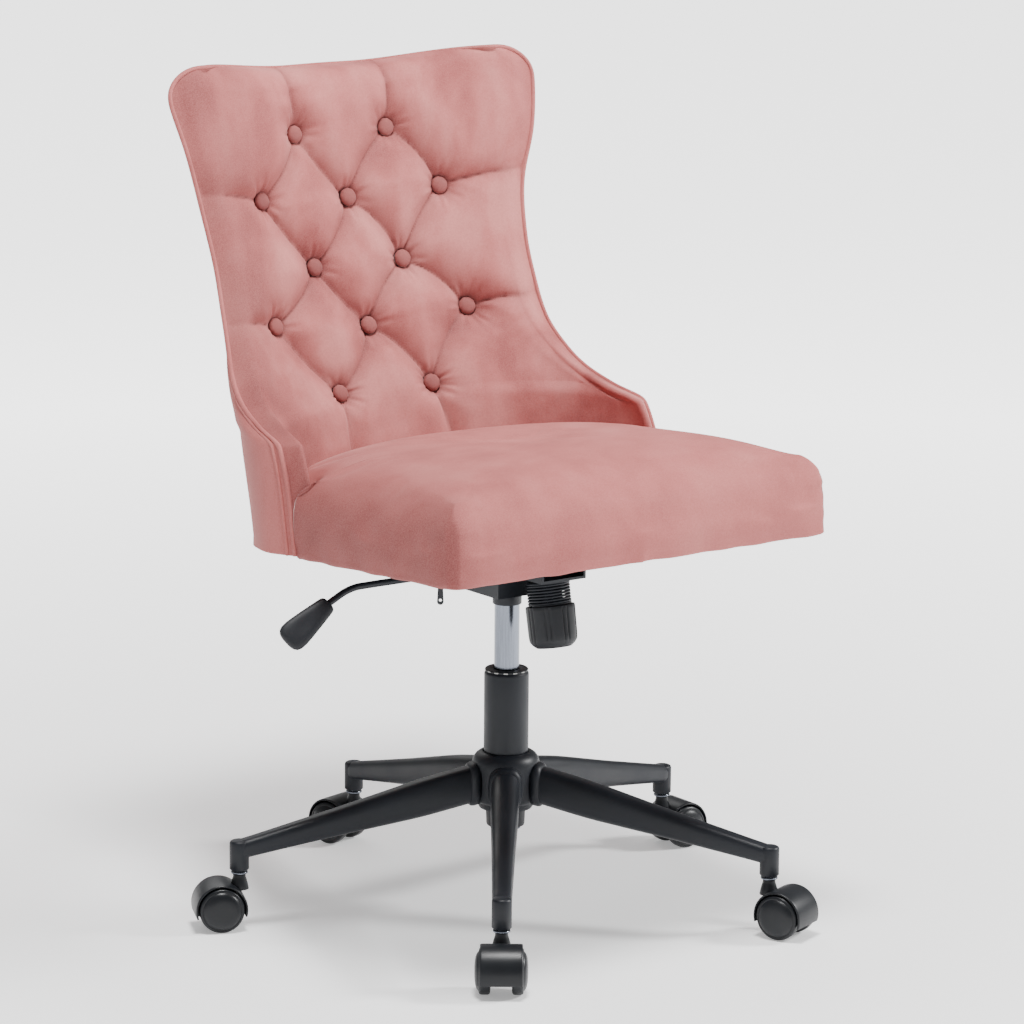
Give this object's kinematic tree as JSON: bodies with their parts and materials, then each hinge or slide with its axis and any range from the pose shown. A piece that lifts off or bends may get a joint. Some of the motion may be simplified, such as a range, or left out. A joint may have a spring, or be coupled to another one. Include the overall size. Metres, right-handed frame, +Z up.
{
  "type": "swivel salon chair",
  "caption": "Swivel chair with a button-tufted velvet wing back, crowned seat, tilt mechanism, gas lift and star base on casters.",
  "frame": {"origin": "on the floor under the centre of the chair's outline", "axes": "+Z up, the sitter faces -Y, +X to the sitter's left"},
  "size_m": [0.688, 0.7008, 0.926],
  "materials": {
    "velvet": "short-pile dusty pink velvet",
    "velvet_button": "short-pile dusty pink velvet pulled over a button",
    "black_metal": "satin black powder coat",
    "black_plastic": "fine-textured black plastic",
    "caster_plastic": "smooth black nylon",
    "bright_steel": "bright ground steel",
    "plywood": "raw plywood",
    "lining": "black non-woven dust cover",
    "guide_plastic": "white guide plastic"
  },
  "bodies": {
    "base": {"base_hub": "black_metal", "base_arm_1": "black_metal", "base_arm_2": "black_metal", "base_arm_3": "black_metal", "base_arm_4": "black_metal", "base_arm_5": "black_metal", "column_tube": "black_metal", "column_bush": "guide_plastic", "thrust_bearing": "bright_steel"},
    "piston": {"piston_rod": "bright_steel"},
    "lift": {"gas_cylinder": "bright_steel", "mech_housing": "black_metal", "tilt_axle": "bright_steel", "tension_spring": "black_metal"},
    "release": {"release_button": "bright_steel"},
    "lever_block": {"lever_pivot": "black_plastic"},
    "lever": {"lever_rod": "black_metal", "lever_grip": "black_plastic"},
    "tilt": {"tilt_plate": "black_metal", "tension_bolt": "bright_steel", "seat_board": "plywood", "seat_cushion": "velvet", "dust_cover": "lining", "back_frame": "plywood", "back_pad": "velvet", "back_cover": "velvet", "tuft_button_01": "velvet_button", "tuft_button_02": "velvet_button", "tuft_button_03": "velvet_button", "tuft_button_04": "velvet_button", "tuft_button_05": "velvet_button", "tuft_button_06": "velvet_button", "tuft_button_07": "velvet_button", "tuft_button_08": "velvet_button", "tuft_button_09": "velvet_button", "tuft_button_10": "velvet_button", "tuft_button_11": "velvet_button", "tuft_button_12": "velvet_button"},
    "knob": {"tension_knob": "black_plastic"},
    "zip": {"zip_pull": "black_plastic"},
    "caster_1": {"caster_1_stem": "bright_steel", "caster_1_hood": "caster_plastic"},
    "caster_1_left": {"caster_1_wheel_left": "caster_plastic"},
    "caster_1_right": {"caster_1_wheel_right": "caster_plastic"},
    "caster_2": {"caster_2_stem": "bright_steel", "caster_2_hood": "caster_plastic"},
    "caster_2_left": {"caster_2_wheel_left": "caster_plastic"},
    "caster_2_right": {"caster_2_wheel_right": "caster_plastic"},
    "caster_3": {"caster_3_stem": "bright_steel", "caster_3_hood": "caster_plastic"},
    "caster_3_left": {"caster_3_wheel_left": "caster_plastic"},
    "caster_3_right": {"caster_3_wheel_right": "caster_plastic"},
    "caster_4": {"caster_4_stem": "bright_steel", "caster_4_hood": "caster_plastic"},
    "caster_4_left": {"caster_4_wheel_left": "caster_plastic"},
    "caster_4_right": {"caster_4_wheel_right": "caster_plastic"},
    "caster_5": {"caster_5_stem": "bright_steel", "caster_5_hood": "caster_plastic"},
    "caster_5_left": {"caster_5_wheel_left": "caster_plastic"},
    "caster_5_right": {"caster_5_wheel_right": "caster_plastic"}
  },
  "joints": [
    {"name": "seat_swivel", "type": "hinge", "parent": "base", "child": "piston", "pos_m": [-0.00038, -0.04565, 0.1], "axis": [0, 0, 1], "continuous": true},
    {"name": "seat_height", "type": "slide", "parent": "piston", "child": "lift", "axis": [0, 0, 1], "range_m": [-0.065, 0.035]},
    {"name": "seat_tilt", "type": "hinge", "parent": "lift", "child": "tilt", "pos_m": [-0.00038, -0.08065, 0.398], "axis": [-1, 0, 0], "range_deg": [0, 10], "stiffness_Nm_per_rad": 60, "springref_deg": -34.38, "deforming": ["tension_spring"]},
    {"name": "tension_turn", "type": "hinge", "parent": "tilt", "child": "knob", "pos_m": [-0.00038, -0.11965, 0.389], "axis": [0, -0.1822, -0.9833], "continuous": true},
    {"name": "lever_lift", "type": "hinge", "parent": "lift", "child": "lever_block", "pos_m": [-0.02238, -0.04565, 0.392], "axis": [0, 1, 0], "range_deg": [0, 6.5], "stiffness_Nm_per_rad": 1.5, "springref_deg": -17.19},
    {"name": "tilt_lock", "type": "slide", "parent": "lever_block", "child": "lever", "axis": [-1, 0, 0], "range_m": [0, 0.012]},
    {"name": "release_press", "type": "slide", "parent": "lift", "child": "release", "axis": [0, 0, -1], "range_m": [0, 0.0028]},
    {"name": "zip_swing", "type": "hinge", "parent": "tilt", "child": "zip", "pos_m": [-0.22838, -0.23765, 0.4375], "axis": [0.809, -0.5878, 0], "range_deg": [-30, 30]},
    {"name": "caster_1_swivel", "type": "hinge", "parent": "base", "child": "caster_1", "pos_m": [0.29271, 0.04435, 0.07], "axis": [0, 0, 1], "continuous": true},
    {"name": "caster_1_left_roll", "type": "hinge", "parent": "caster_1", "child": "caster_1_left", "pos_m": [0.31471, 0.04381, 0.025], "axis": [0.0244, 0.9997, 0], "continuous": true},
    {"name": "caster_1_right_roll", "type": "hinge", "parent": "caster_1", "child": "caster_1_right", "pos_m": [0.31471, 0.04381, 0.025], "axis": [0.0244, 0.9997, 0], "continuous": true},
    {"name": "caster_2_swivel", "type": "hinge", "parent": "base", "child": "caster_2", "pos_m": [0.0046, 0.26091, 0.07], "axis": [0, 0, 1], "continuous": true},
    {"name": "caster_2_left_roll", "type": "hinge", "parent": "caster_2", "child": "caster_2_left", "pos_m": [-0.00169, 0.28199, 0.025], "axis": [-0.9583, -0.2857, 0], "continuous": true},
    {"name": "caster_2_right_roll", "type": "hinge", "parent": "caster_2", "child": "caster_2_right", "pos_m": [-0.00169, 0.28199, 0.025], "axis": [-0.9583, -0.2857, 0], "continuous": true},
    {"name": "caster_3_swivel", "type": "hinge", "parent": "base", "child": "caster_3", "pos_m": [-0.2904, 0.05381, 0.07], "axis": [0, 0, 1], "continuous": true},
    {"name": "caster_3_left_roll", "type": "hinge", "parent": "caster_3", "child": "caster_3_left", "pos_m": [-0.31034, 0.06311, 0.025], "axis": [-0.4226, -0.9063, 0], "continuous": true},
    {"name": "caster_3_right_roll", "type": "hinge", "parent": "caster_3", "child": "caster_3_right", "pos_m": [-0.31034, 0.06311, 0.025], "axis": [-0.4226, -0.9063, 0], "continuous": true},
    {"name": "caster_4_swivel", "type": "hinge", "parent": "base", "child": "caster_4", "pos_m": [-0.1846, -0.29074, 0.07], "axis": [0, 0, 1], "continuous": true},
    {"name": "caster_4_left_roll", "type": "hinge", "parent": "caster_4", "child": "caster_4_left", "pos_m": [-0.19765, -0.30845, 0.025], "axis": [0.8049, -0.5934, 0], "continuous": true},
    {"name": "caster_4_right_roll", "type": "hinge", "parent": "caster_4", "child": "caster_4_right", "pos_m": [-0.19765, -0.30845, 0.025], "axis": [0.8049, -0.5934, 0], "continuous": true},
    {"name": "caster_5_swivel", "type": "hinge", "parent": "base", "child": "caster_5", "pos_m": [0.17578, -0.29659, 0.07], "axis": [0, 0, 1], "continuous": true},
    {"name": "caster_5_left_roll", "type": "hinge", "parent": "caster_5", "child": "caster_5_left", "pos_m": [0.18388, -0.31704, 0.025], "axis": [0.9298, 0.3681, 0], "continuous": true},
    {"name": "caster_5_right_roll", "type": "hinge", "parent": "caster_5", "child": "caster_5_right", "pos_m": [0.18388, -0.31704, 0.025], "axis": [0.9298, 0.3681, 0], "continuous": true}
  ],
  "couplings": [
    {"joint": "release_press", "follows": "lever_lift", "m_per_rad": 0.0245}
  ]
}
